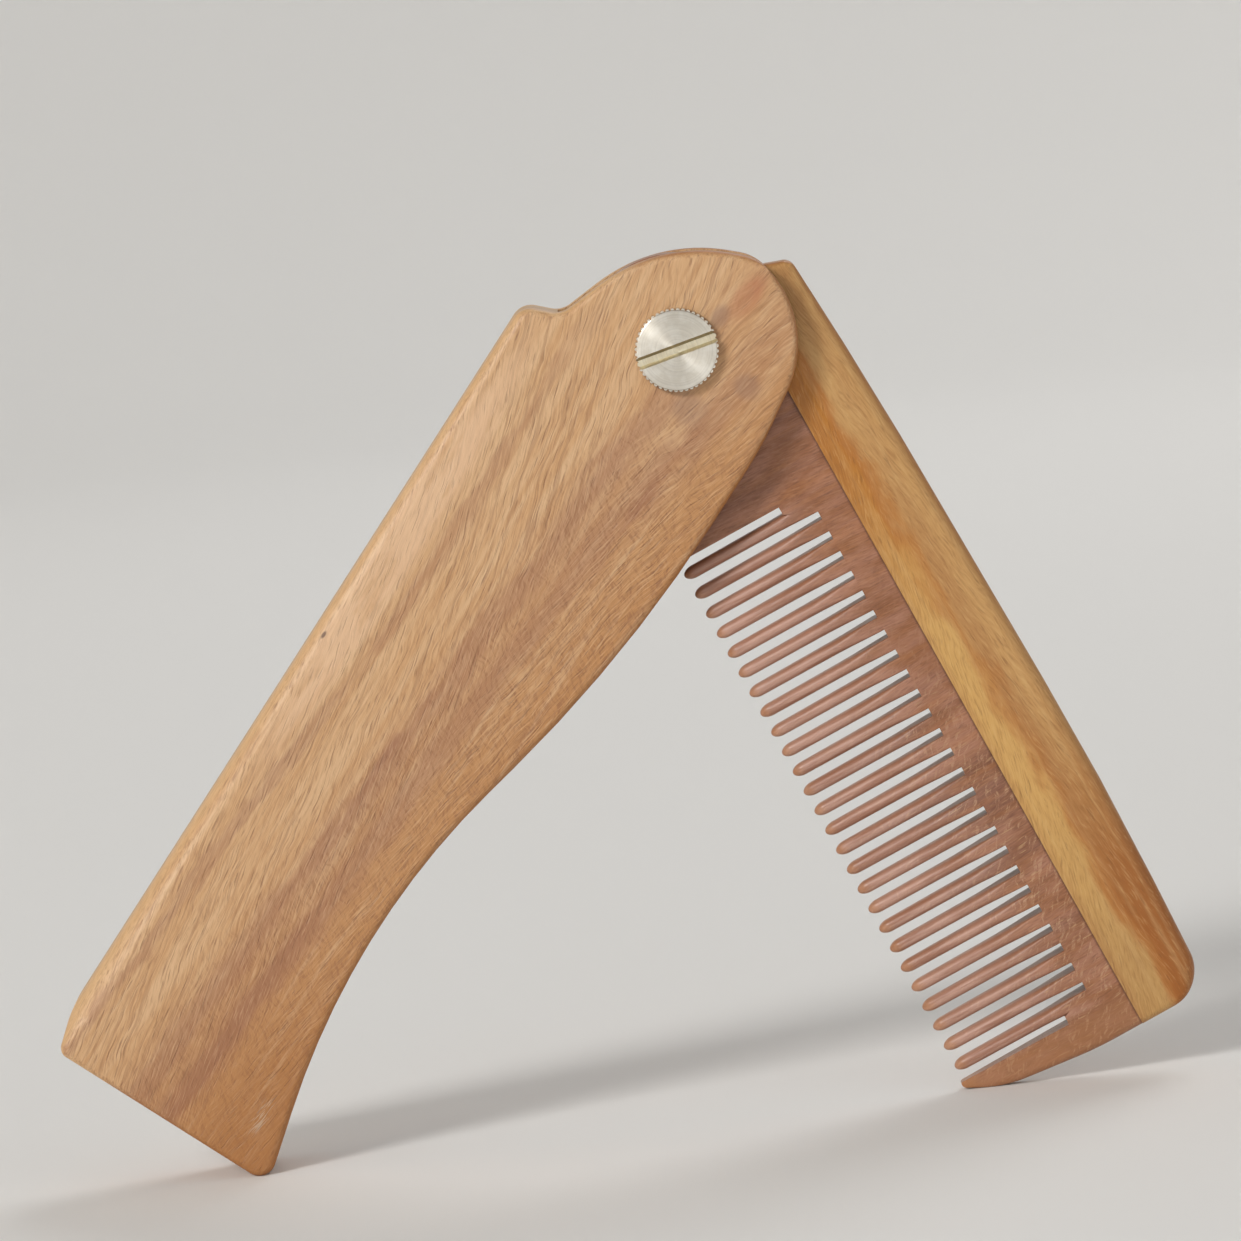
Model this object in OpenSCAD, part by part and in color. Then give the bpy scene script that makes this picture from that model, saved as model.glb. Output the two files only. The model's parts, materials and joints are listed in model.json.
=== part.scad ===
// Folding wooden beard comb: a two-scale handle, a tooth plate glued to a spine, and a screw post
// pivot. Millimetres, +X to the comb's side, +Y to the rear scale, +Z up, standing on its two feet.

/* [Teeth] */
// Teeth between the two guard teeth
tooth_count = 26; // [20:1:32]
// Distance from one tooth to the next
tooth_pitch = 2.4; // [2:0.08:3]
// Width of the cut between two teeth, at its root
gap_w = 0.9; // [0.6:0.05:1.2]
// Amount by which each side of a tooth narrows towards its tip
tooth_taper = 0.1; // [0:0.02:0.2]
// Length of a tooth's rounded tip
tip_l = 1.5; // [0.8:0.1:2]
// Thickness of the teeth at their tips
tip_t = 1.5; // [1:0.1:2]
// Distance from the pivot's line out to the first tooth's tip
tip_x = 11.1; // [10.2:0.1:13.4]
// Extra reach of the last tooth over the first
tip_slant = 0.6; // [0:0.1:1]
// Distance from the pivot's line to the roots of the cuts
root_x = 4.6; // [2:0.2:7]
// Distance from the pivot's line to the roots of the two short end cuts
short_root_x = 1.2; // [0:0.2:4]

/* [Tooth plate] */
// Distance from the pivot down to the first cut
first_gap = 20.5; // [16:0.5:26]
// Length of plate below the last cut
end_guard = 4.25; // [3.6:0.05:6]
// Thickness of the plate at the tang and the roots
plate_t = 4.4; // [3.4:0.1:5.4]
// Radius of the tang that turns in the handle
tang_r = 10; // [8.3:0.1:10.2]

/* [Spine] */
// Distance from the pivot's line to the glued joint of plate and spine
spine_x = 8.1; // [7.6:0.1:9]
// Width of the spine at its widest
spine_w = 9; // [7.4:0.1:10.8]
// Amount by which each face of the spine stands proud of the plate
spine_proud = 0.3; // [0.1:0.05:0.4]
// Height of the spine's top corner above the pivot
spine_top = 2.2; // [1.6:0.1:3.2]
// Slope of the spine's top end
spine_cut = 19; // [14:1:22]

/* [Handle] */
// Thickness of each scale
scale_t = 3.2; // [2.4:0.1:4]
// Distance from the pivot's line to the handle's front edge
front_x = 13.1; // [12.6:0.1:13.8]
// Distance from the pivot's line to the corner that the neck's curve rounds off
neck_x = 4.1; // [3:0.1:7]
// Height of that corner above the butt
neck_up = 27.8; // [24:0.2:32]
// Distance from the pivot down to the belly
belly_down = 30.1; // [26:0.2:34]
// Distance from the pivot's line to the toe of the butt
toe_x = 11.4; // [10:0.1:13]
// Height of the head above the pivot
head_up = 12.4; // [12:0.1:13.4]
// Width of the spacer along the back edge
spacer_w = 3.6; // [2.6:0.1:5]
// Length of the spacer at the butt
butt_l = 9.3; // [6:0.1:12]
// Free length of the slot past the comb's end
pocket_gap = 1.5; // [1.3:0.1:3]

/* [Pivot] */
// Diameter of the barrel that the comb turns on
barrel_d = 5; // [4:0.1:6]
// Diameter of the screw inside the barrel
screw_d = 3.4; // [2.6:0.1:3.4]
// Diameter of the two heads over their ribs
head_d = 8.9; // [8:0.1:11]
// Thickness of each head
head_h = 1.1; // [0.8:0.1:1.6]
// Width of the screwdriver slot
slot_w = 1; // [0.6:0.1:1.4]
// Depth of the screwdriver slot
slot_deep = 0.6; // [0.3:0.1:0.7]
// Direction of the front head's slot, above the floor
slot_angle = 14; // [-90:1:90]
// Ribs round each head
rib_count = 48; // [30:1:60]
// Diameter of the two thin washers
washer_d = 13; // [9:0.5:15]
// Thickness of each washer
washer_t = 0.5; // [0.3:0.1:0.8]

/* [Fits] */
// Radial clearance between the barrel and the holes it passes through
run_gap = 0.05; // [0.02:0.01:0.1]
// Clearance between the tang and each washer
side_gap = 0.1; // [0.05:0.05:0.2]
// Clearance at the stop when the comb is fully open
stop_gap = 0.15; // [0.1:0.05:0.3]
// Clearance between the closed comb's tips and the spacer behind them
tip_clear = 0.6; // [0.4:0.05:1]

/* [Stance] */
// Angle by which the comb stands open
stand_open = 62; // [56:1:68]

/* [Hidden] */
$fn = 96;
full_open = 180;                                  // travel of the comb from closed to open
arc_step = 3;                                     // degrees per side on a rounded corner
far = 200;                                        // longer than anything that it cuts
wood = "burlywood";
pinkish_wood = "rosybrown";
yellow_wood = "tan";
plated = "lightgray";
brass = "darkkhaki";

// Stack of layers across the handle
gap_t = plate_t + 2 * (side_gap + washer_t);      // clear width between the scales
spine_t = min(plate_t + 2 * spine_proud, gap_t - 0.4);
half_t = gap_t / 2 + scale_t;                     // middle of the comb to a scale's outer face

// Lengths down from the pivot
gap_span = tooth_count * tooth_pitch;             // first cut to last cut
comb_end = first_gap + gap_span + end_guard;
pocket_end = comb_end + pocket_gap;
butt = pocket_end + butt_l;
last_gap = first_gap + gap_span;

// Distances back from the pivot's line
guard_x = tip_x + tip_slant + 0.3;                // the end guard reaches past the last tooth
spacer_x = guard_x + tip_clear;
back_x = spacer_x + spacer_w;

// ---- Outlines: [x, z, radius] corners, rounded by arcs ----
function turn(p, a) = [p.x * cos(a) + p.y * sin(a), p.y * cos(a) - p.x * sin(a)];
function wrap(list, i) = list[(i + len(list)) % len(list)];
function spot(v) = [v.x, v.y];
function heading(v) = atan2(v.y, v.x);
function signed(a) = a > 180 ? a - 360 : a < -180 ? a + 360 : a;
function bend(list, i) = signed(heading(spot(wrap(list, i + 1)) - spot(wrap(list, i)))
    - heading(spot(wrap(list, i)) - spot(wrap(list, i - 1))));
function reach(list, i) = wrap(list, i)[2] * tan(abs(bend(list, i)) / 2);
function side(list, i) = norm(spot(wrap(list, i + 1)) - spot(wrap(list, i)));
// A corner's radius shrinks only where two neighbouring arcs would run into each other
function room(list, i) = min(1, side(list, i) / (reach(list, i) + reach(list, i + 1) + 0.001));
function radius(list, i) = wrap(list, i)[2] * min(room(list, i), room(list, i - 1));
function unit(v) = v / norm(v);
// Centre of the arc that rounds corner i
function centre(list, i) =
    let (here = spot(wrap(list, i)),
         back = unit(spot(wrap(list, i - 1)) - here),
         on = unit(spot(wrap(list, i + 1)) - here))
    here + unit(back + on) * radius(list, i) / cos(bend(list, i) / 2);
function corner(list, i) =
    radius(list, i) == 0 ? [spot(wrap(list, i))] :
    let (b = bend(list, i),
         start = heading(spot(wrap(list, i)) - spot(wrap(list, i - 1))) - 90 * sign(b),
         steps = ceil(abs(b) / arc_step))
    [for (k = [0:steps])
        centre(list, i) + radius(list, i) * [cos(start + b * k / steps), sin(start + b * k / steps)]];
function rounded(list) = [for (i = [0:len(list) - 1]) each corner(list, i)];

// Handle: toe, neck, belly, head, notch, back edge, heel
toe_r = 1.8;
handle_corners = [
    [toe_x, -butt, toe_r],
    [neck_x, neck_up - butt, 84],
    [front_x, -belly_down, 150],
    [front_x, -4, 40],
    [front_x - 2, head_up - 1.9, 11.5],
    [1.9, head_up + 0.25, 5],
    [-7.9, head_up - 3.9, 18],
    [-12.15, -3.4, 2.5],
    [-back_x, -5, 2.2],
    [-back_x, 4.4 - butt, 10],
    [1.35 - back_x, -butt, 1.2]
];
handle_outline = rounded(handle_corners);

// Spine: its top end slopes down to the back of the comb, which bulges a little
spine_out = spine_x + spine_w;
cut_z = spine_top + (spine_out - 2 - spine_x) * tan(spine_cut);   // where the slope meets the plate
spine_corners = [
    [spine_x, -comb_end, 0],
    [spine_out - 1.05, -comb_end, 4.3],
    [spine_out - 0.05, 25.2 - comb_end, 400],
    [spine_out - 1.05, -14, 300],
    [spine_out - 2, spine_top, 1.2],
    [spine_x, cut_z, 0]
];
spine_outline = rounded(spine_corners);

// Tooth plate: the end guard is a filleted outline, and the cuts are worked out one by one
guard_corners = [
    [root_x, -last_gap - gap_w / 2, 0],
    [root_x, -comb_end, 0],
    [2.4, -comb_end, 40],
    [-8.4, 1.15 - comb_end, 14],
    [-guard_x, 3.2 - comb_end, 0.6],
    [0.1 - guard_x, -last_gap - gap_w / 2, 0.3]
];
guard_count = len(guard_corners);
guard_outline = [for (i = [1:guard_count - 1]) each corner(guard_corners, i)];

function gap_z(i) = -first_gap - i * tooth_pitch;
function gap_root(i) = i == 0 || i == tooth_count ? short_root_x : root_x;
function tip_at(k) = -tip_x - tip_slant * k / tooth_count;
// One cut's root and the rounded tip of the tooth below it
function cut_root(i) = [[gap_root(i), gap_z(i) + gap_w / 2], [gap_root(i), gap_z(i) - gap_w / 2]];
function tooth_tip(k) =
    let (half = (tooth_pitch - gap_w) / 2 - tooth_taper, steps = 10)
    [for (s = [0:steps])
        [tip_at(k) + tip_l * (1 - sin(180 * s / steps)),
         gap_z(k) - tooth_pitch / 2 + half * cos(180 * s / steps)]];
plate_outline = concat(
    [[spine_x, -comb_end], [spine_x, cut_z], [-tang_r, 0], [-tip_x, 1.2 - first_gap],
     [0.4 - tip_x, gap_z(0) + gap_w / 2]],
    cut_root(0),
    [for (k = [0:tooth_count - 1]) each concat(tooth_tip(k), cut_root(k + 1))],
    [for (i = [1:len(guard_outline)]) guard_outline[len(guard_outline) - i]]
);

// ---- Stance: both feet on the floor, the bounding box centred on the origin ----
foot_i = 3;                                       // the guard corner that the comb stands on
handle_foot = centre(handle_corners, 0);
comb_foot = turn(centre(guard_corners, foot_i), -stand_open);
feet = comb_foot - handle_foot;
handle_tilt = heading(feet) - asin((radius(guard_corners, foot_i) - toe_r) / norm(feet));
comb_tilt = handle_tilt - stand_open;
handle_points = [for (p = handle_outline) turn(p, handle_tilt)];
comb_points = [for (p = concat(spine_outline, plate_outline)) turn(p, comb_tilt)];
pivot_x = -(min([for (p = handle_points) p.x]) + max([for (p = comb_points) p.x])) / 2;
pivot_z = -min([for (p = concat(handle_points, comb_points)) p.y]);

// ---- Placing ----
module at_pivot(tilt) {
    translate([pivot_x, 0, pivot_z]) rotate([0, tilt, 0]) children();
}

// A flat layer of an outline, from y = from to y = to
module layer(outline, from, to) {
    translate([0, to, 0]) rotate([90, 0, 0]) linear_extrude(to - from) polygon(outline);
}

// A round bar along Y
module bar(d, from, to) {
    translate([0, to, 0]) rotate([90, 0, 0]) cylinder(d = d, h = to - from);
}

// ---- Handle ----
module handle_side(from) {
    difference() {
        layer(handle_outline, from, from + scale_t);
        bar(barrel_d + 2 * run_gap, from - 1, from + scale_t + 1);
    }
}

module front_scale() {
    color(wood) at_pivot(handle_tilt) handle_side(-half_t);
}

module rear_scale() {
    color(wood) at_pivot(handle_tilt) handle_side(gap_t / 2);
}

// Clear of the spine's top end when the comb is fully open
module open_comb_room() {
    clear = stop_gap / cos(spine_cut);
    low = cut_z - (far - spine_x) * tan(spine_cut);
    layer([
        turn([spine_x, cut_z], full_open) - [0, clear],
        turn([far, low], full_open) - [0, clear],
        [-far, far],
        [-spine_x, far]
    ], -gap_t, gap_t);
}

module back_spacer() {
    color(wood) at_pivot(handle_tilt) difference() {
        intersection() {
            layer(handle_outline, -gap_t / 2, gap_t / 2);
            translate([-spacer_x - far, -gap_t, -pocket_end]) cube([far, 2 * gap_t, far]);
        }
        open_comb_room();
    }
}

module butt_spacer() {
    color(wood) at_pivot(handle_tilt) intersection() {
        layer(handle_outline, -gap_t / 2, gap_t / 2);
        translate([-far / 2, -gap_t, -pocket_end - far]) cube([far, 2 * gap_t, far]);
    }
}

// ---- Comb ----
// Thins the plate from the roots of the cuts to the tips
module tooth_wedge() {
    thin = guard_x + 1;
    translate([0, 0, -far]) linear_extrude(2 * far) polygon([
        [far, -plate_t / 2], [far, plate_t / 2], [root_x, plate_t / 2],
        [-thin, tip_t / 2], [-thin, -tip_t / 2], [root_x, -plate_t / 2]
    ]);
}

module tooth_plate() {
    color(pinkish_wood) at_pivot(comb_tilt) difference() {
        union() {
            intersection() {
                layer(plate_outline, -plate_t, plate_t);
                tooth_wedge();
            }
            intersection() {
                bar(2 * tang_r, -plate_t / 2, plate_t / 2);
                translate([spine_x - far, -plate_t, -far / 2]) cube([far, 2 * plate_t, far]);
            }
        }
        bar(barrel_d + 2 * run_gap, -plate_t, plate_t);
    }
}

module spine() {
    color(yellow_wood) at_pivot(comb_tilt) layer(spine_outline, -spine_t / 2, spine_t / 2);
}

// ---- Pivot ----
rib_deep = 0.22;
rib_outline = [for (i = [0:2 * rib_count - 1])
    (head_d / 2 - (i % 2) * rib_deep) * [cos(180 * i / rib_count), sin(180 * i / rib_count)]];

// A ribbed head with a screwdriver slot, standing on y = 0 and facing -Y
module head() {
    difference() {
        layer(rib_outline, -head_h, 0);
        rotate([0, -slot_angle, 0]) translate([-head_d, -head_h - 1, -slot_w / 2])
            cube([2 * head_d, 1 + slot_deep, slot_w]);
    }
}

module pivot_screw() {
    color(plated) at_pivot(0) union() {
        translate([0, -half_t, 0]) head();
        bar(screw_d, -half_t - head_h + slot_deep, gap_t / 2);
    }
}

module pivot_barrel() {
    short = 0.6;
    color(plated) at_pivot(0) union() {
        translate([0, half_t, 0]) rotate([0, 0, 180]) head();
        difference() {
            bar(barrel_d, short - half_t, half_t + head_h - slot_deep);
            bar(screw_d + 2 * run_gap, -half_t, gap_t / 2 + 1);
        }
    }
}

module washer(from) {
    color(brass) at_pivot(0) difference() {
        bar(washer_d, from, from + washer_t);
        bar(barrel_d + 4 * run_gap, from - 1, from + washer_t + 1);
    }
}

module front_washer() {
    washer(-gap_t / 2);
}

module rear_washer() {
    washer(gap_t / 2 - washer_t);
}

front_scale();
rear_scale();
back_spacer();
butt_spacer();
tooth_plate();
spine();
pivot_screw();
pivot_barrel();
front_washer();
rear_washer();
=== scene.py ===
# %% [markdown]
# # A folding wooden beard comb
# The comb stands half open, like the letter A. Its handle is two wooden scales with a slot between them. The
# comb turns on a ribbed screw post in the handle's head: a plate of teeth, with a bar of lighter wood, the
# spine, glued along its back. The engineering model comes first and fixes every size and place. This file
# puts the looks on top of it, so each piece below is measured from that model.

import json
from math import atan2, cos, pi, radians, sin, tau

import bmesh
import bpy
from mathutils import Matrix, Vector

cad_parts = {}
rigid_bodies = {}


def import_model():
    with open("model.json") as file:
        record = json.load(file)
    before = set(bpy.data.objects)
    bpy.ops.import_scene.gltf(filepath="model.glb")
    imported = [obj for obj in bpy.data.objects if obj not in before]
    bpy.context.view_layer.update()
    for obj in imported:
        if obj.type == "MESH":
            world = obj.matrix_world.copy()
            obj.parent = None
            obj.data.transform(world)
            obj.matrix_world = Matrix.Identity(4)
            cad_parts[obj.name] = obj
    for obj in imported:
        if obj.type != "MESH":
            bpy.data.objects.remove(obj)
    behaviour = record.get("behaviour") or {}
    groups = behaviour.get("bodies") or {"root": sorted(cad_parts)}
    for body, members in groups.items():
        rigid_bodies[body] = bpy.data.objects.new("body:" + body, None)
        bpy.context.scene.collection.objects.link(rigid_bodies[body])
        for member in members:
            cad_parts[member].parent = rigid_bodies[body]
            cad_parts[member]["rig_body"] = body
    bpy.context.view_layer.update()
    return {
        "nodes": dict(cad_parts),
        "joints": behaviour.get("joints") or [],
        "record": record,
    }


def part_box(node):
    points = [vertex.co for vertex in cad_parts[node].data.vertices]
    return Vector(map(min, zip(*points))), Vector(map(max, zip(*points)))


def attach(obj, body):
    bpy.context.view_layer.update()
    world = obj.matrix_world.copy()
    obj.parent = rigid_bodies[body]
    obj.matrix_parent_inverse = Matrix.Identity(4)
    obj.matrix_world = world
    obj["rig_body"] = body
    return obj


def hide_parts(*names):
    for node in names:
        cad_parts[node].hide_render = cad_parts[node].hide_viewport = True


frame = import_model()
MM = 0.001
# A hair's breadth: places closer than this count as one, and faces that must not coincide lie this far apart
HAIR = 0.01 * MM

# %% [markdown]
# ## Two spaces to work in
# Both halves are flat shapes, cut from boards and standing on edge at different slopes. It is easiest to
# shape each one upright, with the pivot at zero and its length along Z, and to turn the finished mesh into
# place at the end. The handle's slope is the way its butt face looks. The comb's differs by how far the
# joint has yet to close.

# %% Spaces of the handle and the comb
joint = frame["joints"][0]
pivot = Vector(joint["pos_m"])
butt_way = Vector(frame["record"]["mounts"][0]["axis"])
handle_tilt = atan2(-butt_way.x, -butt_way.z)
comb_tilt = handle_tilt + radians(joint["range_deg"][0])
TILT = {"handle": handle_tilt, "comb": comb_tilt}
SPACE = {body: Matrix.Translation(pivot) @ Matrix.Rotation(tilt, 4, "Y") for body, tilt in TILT.items()}
print("tilt of handle and comb:", handle_tilt, comb_tilt)

# %% [markdown]
# ## The camera
# A long lens from a little above, level with the middle of the comb. It leans a few degrees, so the whole
# comb looks turned the other way. The pivot's place in the view fixes where the camera points.

# %% Camera
LENS = 200
SENSOR = 36
VIEW_WIDTH = 130.2 * MM
LEAN = radians(6.4)
RISE = radians(5)
PIVOT_RIGHT = 5.9 * MM
PIVOT_UP = 28.4 * MM


def add_camera():
    data = bpy.data.cameras.new("camera")
    data.lens = LENS
    data.sensor_width = SENSOR
    data.clip_start = 0.01
    forward = Vector((0, cos(RISE), -sin(RISE)))
    level_up = Vector((0, sin(RISE), cos(RISE)))
    right = Vector((cos(LEAN), 0, 0)) - sin(LEAN) * level_up
    up = Vector((sin(LEAN), 0, 0)) + cos(LEAN) * level_up
    face = Vector((pivot.x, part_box("front_scale")[0].y, pivot.z))
    target = face - PIVOT_RIGHT * right - PIVOT_UP * up
    camera = bpy.data.objects.new("camera", data)
    turn = Matrix((right, up, -forward)).transposed().to_4x4()
    camera.matrix_world = Matrix.Translation(target - forward * VIEW_WIDTH * LENS / SENSOR) @ turn
    bpy.context.scene.collection.objects.link(camera)
    bpy.context.scene.camera = camera
    return camera


print("camera at", add_camera().matrix_world.translation)

# %% [markdown]
# ## Reading outlines
# A board's outline is the outermost path along its side walls, seen along the pivot. Each wall triangle
# gives flat edges, and a walk that always takes the outermost one goes once round the board.

# %% Outline of a node


def outline(node):
    """The outer edge of a CAD node as (x, z) points in its body's space, anticlockwise from the front."""
    item = frame["nodes"][node]
    own = SPACE[item["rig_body"]].inverted()
    places = [own @ v.co for v in item.data.vertices]
    links = {}
    for face in item.data.polygons:
        if abs(face.normal.y) > 0.5:
            continue
        spots = [(round(places[i].x, 6), round(places[i].z, 6)) for i in face.vertices]
        for a, b in zip(spots, spots[1:] + spots[:1]):
            if a != b:
                links.setdefault(a, set()).add(b)
                links.setdefault(b, set()).add(a)
    here = min(links)
    back = pi
    loop = []
    while not loop or here != loop[0]:
        loop.append(here)
        turns = {to: (atan2(to[1] - here[1], to[0] - here[0]) - back) % tau or tau for to in links[here]}
        onward = min(turns, key=turns.get)
        back = atan2(here[1] - onward[1], here[0] - onward[0])
        here = onward
    return loop


handle_loop = outline("front_scale")
butt_z = min(p[1] for p in handle_loop)
print("points round the handle:", len(handle_loop), "butt at", butt_z)

# %% [markdown]
# ## Rings for eased edges
# Every wooden piece is a board whose edges have been sanded round. A bevel modifier could do it, but here
# the rounding changes along the edge: soft where the palm rests, crisp at the head. So an edge is a stack of
# rings, each pushed inwards a little more than the last along a quarter circle. These helpers do the
# pushing, corner by corner.

# %% Rings pushed inwards
ROUND_STEPS = 6
# An outline that turns by less than this at a point is a smooth curve there, not a corner
GENTLE = radians(15)


def normals_round(loop):
    """For each point: the inward normals of the edges before and after it, its turn and its shorter edge."""
    result = []
    for i, here in enumerate(loop):
        here = Vector(here)
        before = here - Vector(loop[i - 1])
        after = Vector(loop[(i + 1) % len(loop)]) - here
        n0 = Vector((-before.y, before.x)).normalized()
        n1 = Vector((-after.y, after.x)).normalized()
        turn = atan2(n0.x * n1.y - n0.y * n1.x, n0.dot(n1))
        result.append((n0, n1, turn, min(before.length, after.length)))
    return result


def even_out(radii, loop):
    """Lets the radius change only slowly from point to point, so that no ring crosses itself."""
    gaps = [(Vector(here) - Vector(loop[i - 1])).length for i, here in enumerate(loop)]
    for i in list(range(len(loop))) * 2:
        radii[i] = min(radii[i], radii[i - 1] + 0.5 * gaps[i])
    for i in list(range(len(loop)))[::-1] * 2:
        radii[i - 1] = min(radii[i - 1], radii[i] + 0.5 * gaps[i])


def pushed_in(loop, sides, inset, square):
    """The loop with each point moved in by its own inset. An edge marked square stays on its own line."""
    result = []
    for i, here in enumerate(loop):
        n0, n1, turn, _ = sides[i]
        d0 = 0 if square[i - 1] else inset[i]
        d1 = 0 if square[i] else inset[i]
        if abs(turn) < GENTLE:
            push = (n0 + n1).normalized() * (d0 + d1) / 2
        else:
            across = n0.x * n1.y - n0.y * n1.x
            push = Vector((d0 * n1.y - d1 * n0.y, d1 * n0.x - d0 * n1.x)) / across
        result.append(Vector(here) + push)
    return result


corners = [turn for _, _, turn, _ in normals_round(handle_loop) if abs(turn) >= GENTLE]
print("sharp corners round the handle:", len(corners))

# %% [markdown]
# ## Boards
# A board is the rings of its lower edge and of its upper edge, joined by walls and closed with flat caps. A
# round hole for the pivot is a tube of its own, and the cap is filled between the two. Building the mesh
# directly keeps the faces clean, where cutting the hole out afterwards would leave slivers.

# %% Build a board
HOLE_SIDES = 64


def join_rings(bm, lower, upper):
    for i, corner in enumerate(lower):
        bm.faces.new((lower[i - 1], corner, upper[i], upper[i - 1]))


def ring_edges(bm, ring):
    return [bm.edges.get((a, ring[i - 1])) for i, a in enumerate(ring)]


def eased_rings(bm, loop, face_y, way, ease, keep):
    """The rings of one rounded edge, from the wall to the face at face_y. way leads into the wood."""
    sides = normals_round(loop)
    radii = []
    for here, (n0, n1, turn, length) in zip(loop, sides):
        radius = ease(Vector(here), -(n0 + n1).normalized())
        if 0 < turn < GENTLE:
            radius = min(radius, 0.85 * length / turn)
        radii.append(radius)
    even_out(radii, loop)
    rings = []
    for step in range(ROUND_STEPS + 1):
        angle = pi / 2 * step / ROUND_STEPS
        spots = pushed_in(loop, sides, [radius * (1 - cos(angle)) for radius in radii], keep)
        heights = [face_y + way * radius * (1 - sin(angle)) for radius in radii]
        rings.append([bm.verts.new((spot.x, y, spot.y)) for spot, y in zip(spots, heights)])
    return rings


def board(loop, low, high, ease_low, ease_high, square=None, hole=0):
    """A closed bmesh of a board from y = low to y = high. ease_low and ease_high give an edge radius for a
    point and its outward normal. square(a, b) says which outline edges stay sharp. hole is a radius."""
    keep = [bool(square) and square(here, loop[(i + 1) % len(loop)]) for i, here in enumerate(loop)]
    bm = bmesh.new()
    rings = eased_rings(bm, loop, low, 1, ease_low, keep)[::-1]
    rings += eased_rings(bm, loop, high, -1, ease_high, keep)
    for lower, upper in zip(rings, rings[1:]):
        join_rings(bm, lower, upper)
    holes = []
    if hole:
        turns = [tau * k / HOLE_SIDES for k in range(HOLE_SIDES)]
        holes = [[bm.verts.new((hole * cos(a), y, hole * sin(a))) for a in turns] for y in (low, high)]
        join_rings(bm, *holes)
    for ring, inner in ((rings[0], holes[:1]), (rings[-1], holes[1:])):
        edges = ring_edges(bm, ring)
        for circle in inner:
            edges += ring_edges(bm, circle)
        bmesh.ops.triangle_fill(bm, edges=edges, use_beauty=True, normal=(0, 1, 0))
    bmesh.ops.remove_doubles(bm, verts=bm.verts, dist=1e-7)
    bmesh.ops.recalc_face_normals(bm, faces=bm.faces)
    return bm


print("rings in a board:", 2 * (ROUND_STEPS + 1))

# %% [markdown]
# ## From a shape to a piece
# Each shape is made upright in its body's space, then its mesh is moved into place, so the object itself
# stays at the origin. Weighted normals make the big flat faces shade flat and leave the rounding to the
# edges. The modifier is applied, the piece is told which body it rides on, and the engineering node that it
# stands for is hidden.

# %% Turn a finished shape into a piece


def add_object(name, bm, place=Matrix.Identity(4)):
    """Makes an object of a shape, with its points moved by the matrix place."""
    bm.transform(place)
    mesh = bpy.data.meshes.new(name)
    bm.to_mesh(mesh)
    bm.free()
    item = bpy.data.objects.new(name, mesh)
    bpy.context.scene.collection.objects.link(item)
    return item


def apply_modifiers(item):
    """Replaces the object's mesh by what its modifiers make of it, and removes them."""
    graph = bpy.context.evaluated_depsgraph_get()
    plain = bpy.data.meshes.new_from_object(item.evaluated_get(graph))
    item.modifiers.clear()
    item.data = plain
    return plain


def finish_piece(item, body, node, material=None):
    """Shades the mesh smoothly and registers the piece. Without a material it keeps its own."""
    weighted = item.modifiers.new("weighted normals", "WEIGHTED_NORMAL")
    weighted.keep_sharp = True
    item.data.shade_smooth()
    item.data.set_sharp_from_angle(angle=radians(38))
    plain = apply_modifiers(item)
    plain.name = item.name
    if material:
        plain.materials.clear()
        plain.materials.append(material)
    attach(item, body)
    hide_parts(node)
    print(f"{item.name}: {len(plain.vertices)} points, {len(plain.polygons)} faces")


# %% [markdown]
# ## Node helpers
# Materials and geometry nodes are built in code. A few short helpers keep the formulas readable: one puts a
# value or a link into a socket, others add one kind of node each, and the last makes a group with named
# sockets. A colour is given as red, green and blue. A mix of colours takes its factor in socket 0 and its
# two colours in 6 and 7.

# %% Node helpers
FLOAT = "NodeSocketFloat"
GEOMETRY = "NodeSocketGeometry"


def put(tree, socket, value):
    if isinstance(value, bpy.types.NodeSocket):
        tree.links.new(value, socket)
    elif socket.type == "RGBA":
        socket.default_value = (*value, 1)
    else:
        socket.default_value = value


def add_node(tree, kind, values=None, **settings):
    node = tree.nodes.new(kind)
    for name, value in settings.items():
        setattr(node, name, value)
    for name, value in (values or {}).items():
        put(tree, node.inputs[name], value)
    return node


def calc(tree, operation, *values, clamp=False):
    node = add_node(tree, "ShaderNodeMath", dict(enumerate(values)), operation=operation)
    node.use_clamp = clamp
    return node.outputs[0]


def times(tree, *factors):
    product = factors[0]
    for factor in factors[1:]:
        product = calc(tree, "MULTIPLY", product, factor)
    return product


def ramp(tree, value, low, high, out_low=0.0, out_high=1.0):
    """A smooth step of value from low to high."""
    values = {"Value": value, "From Min": low, "From Max": high, "To Min": out_low, "To Max": out_high}
    return add_node(tree, "ShaderNodeMapRange", values, interpolation_type="SMOOTHSTEP").outputs[0]


def mix(tree, factor, a, b, blend="MIX"):
    values = {0: factor, 6: a, 7: b}
    return add_node(tree, "ShaderNodeMix", values, data_type="RGBA", blend_type=blend).outputs[2]


def tint(tree, colour, tone, *masks):
    """Lays a tone over the colour where all the masks are high. A number among them sets the strength."""
    return mix(tree, times(tree, *masks), colour, tone)


def vector(tree, x, y, z):
    return add_node(tree, "ShaderNodeCombineXYZ", {"X": x, "Y": y, "Z": z}).outputs[0]


def separate(tree, place):
    return add_node(tree, "ShaderNodeSeparateXYZ", {0: place}).outputs


def noise(tree, place, detail=2.0, rough=0.5, scale=1.0):
    values = {"Vector": place, "Scale": scale, "Detail": detail, "Roughness": rough, "Distortion": 0.0}
    return add_node(tree, "ShaderNodeTexNoise", values).outputs[0]


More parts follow.
